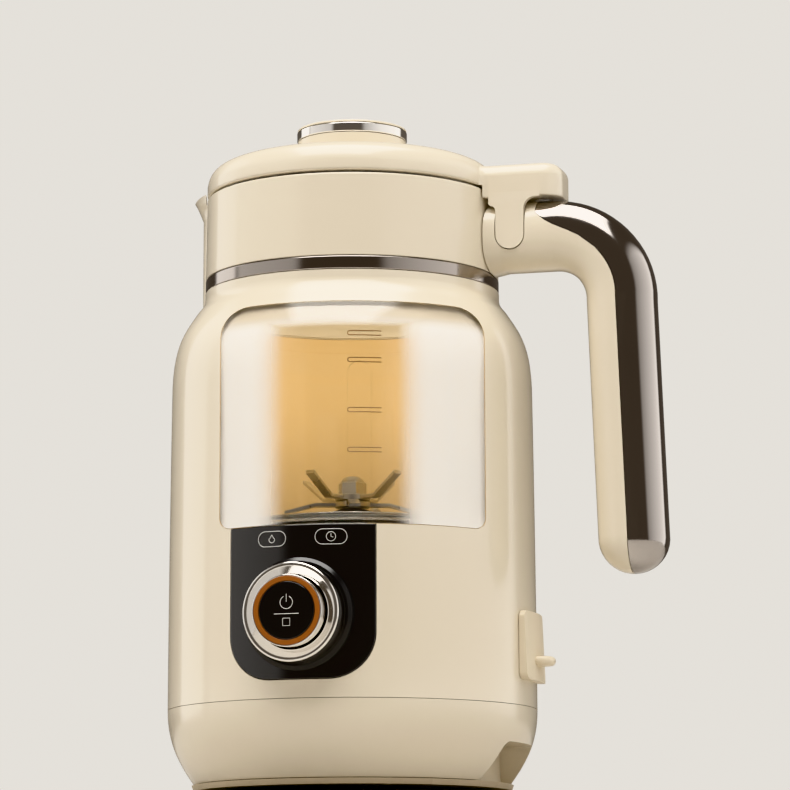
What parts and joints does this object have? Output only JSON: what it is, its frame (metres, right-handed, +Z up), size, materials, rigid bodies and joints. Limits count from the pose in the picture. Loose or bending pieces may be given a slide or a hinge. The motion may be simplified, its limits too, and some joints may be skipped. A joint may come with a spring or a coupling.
{
  "type": "soy milk maker",
  "caption": "Countertop soy milk maker: waisted cream body with a clear window on an inner jar, front selector knob with start button, lift-off lid and a side handle.",
  "frame": {"origin": "centre of the bounding box at the plane that the product stands on", "axes": "+Z up, -Y toward the control panel at the front, +X toward the handle, -X toward the pouring lip"},
  "size_m": [0.2151, 0.172, 0.2858],
  "materials": {
    "cream_plastic": "glossy moulded",
    "bottom_plastic": "matte moulded",
    "white_plastic": "matte moulded",
    "dark_plastic": "satin",
    "black_gloss": "piano black",
    "clear_window": "clear, frosted toward its top",
    "jar_glass": "clear",
    "polished_chrome": "mirror",
    "dark_chrome": "smoked mirror",
    "warm_sleeve": "satin, warm tint",
    "steel": "brushed",
    "brass": "machined",
    "copper_winding": "lacquered wire",
    "black_rubber": "matte",
    "clear_silicone": "translucent",
    "cream_silicone": "matte",
    "amber_light_guide": "translucent",
    "circuit_board": "solder mask"
  },
  "bodies": {
    "housing": {"base_shell": "cream_plastic", "bottom_cover": "bottom_plastic", "foot_1": "black_rubber", "foot_2": "black_rubber", "foot_3": "black_rubber", "foot_4": "black_rubber", "cover_screw_1": "steel", "cover_screw_2": "steel", "cover_screw_3": "steel", "body_shell": "cream_plastic", "viewing_window": "clear_window", "control_panel": "black_gloss", "knob_bezel": "dark_plastic", "selector_encoder": "dark_plastic", "control_board": "circuit_board", "power_board": "circuit_board", "chrome_band": "polished_chrome", "collar": "cream_plastic", "pour_spout": "cream_plastic", "handle_grip": "cream_plastic", "handle_cover": "dark_chrome", "handle_screw_1": "steel", "handle_screw_2": "steel", "reed_switch": "dark_plastic", "inner_jar": "jar_glass", "jar_gasket": "clear_silicone", "heating_plate": "steel", "temperature_probe": "steel", "clamp_ring": "white_plastic", "shaft_bushing": "brass", "shaft_seal": "black_rubber", "motor_stator": "copper_winding", "motor_can": "steel", "motor_end_bell": "dark_plastic", "motor_mount_1": "black_rubber", "motor_mount_2": "black_rubber", "motor_mount_3": "black_rubber", "inner_frame": "white_plastic", "heat_sleeve": "warm_sleeve", "inlet_socket": "dark_plastic", "inlet_pin_1": "brass", "inlet_pin_2": "brass", "inlet_pin_3": "brass"},
    "lid": {"lid_shell": "cream_plastic", "lid_liner": "white_plastic", "lid_gasket": "clear_silicone", "lid_magnet": "steel", "lid_knob": "cream_plastic", "knob_ring": "polished_chrome", "knob_cap": "cream_plastic"},
    "rotor": {"drive_shaft": "steel", "lower_blade": "steel", "upper_blade": "steel", "blade_nut": "steel", "cooling_fan": "dark_plastic", "motor_rotor": "steel"},
    "selector": {"selector_ring": "polished_chrome"},
    "button": {"start_button": "black_gloss", "light_ring": "amber_light_guide"},
    "inlet_flap": {"inlet_cover": "cream_silicone"}
  },
  "joints": [
    {"name": "lid_lift", "type": "slide", "parent": "housing", "child": "lid", "axis": [0, 0, 1], "range_m": [0, 0.1]},
    {"name": "rotor_spin", "type": "hinge", "parent": "housing", "child": "rotor", "pos_m": [-0.02955, 0.008, 0.07], "axis": [0, 0, 1], "continuous": true},
    {"name": "selector_turn", "type": "hinge", "parent": "housing", "child": "selector", "pos_m": [-0.02955, -0.07, 0.069], "axis": [0, -1, 0], "continuous": true},
    {"name": "start_press", "type": "slide", "parent": "housing", "child": "button", "axis": [0, 1, 0], "range_m": [0, 0.001], "stiffness_N_per_m": 400},
    {"name": "inlet_cover_turn", "type": "hinge", "parent": "housing", "child": "inlet_flap", "pos_m": [0.04935, 0.008, 0.0743], "axis": [0, -1, 0], "range_deg": [0, 105]}
  ]
}
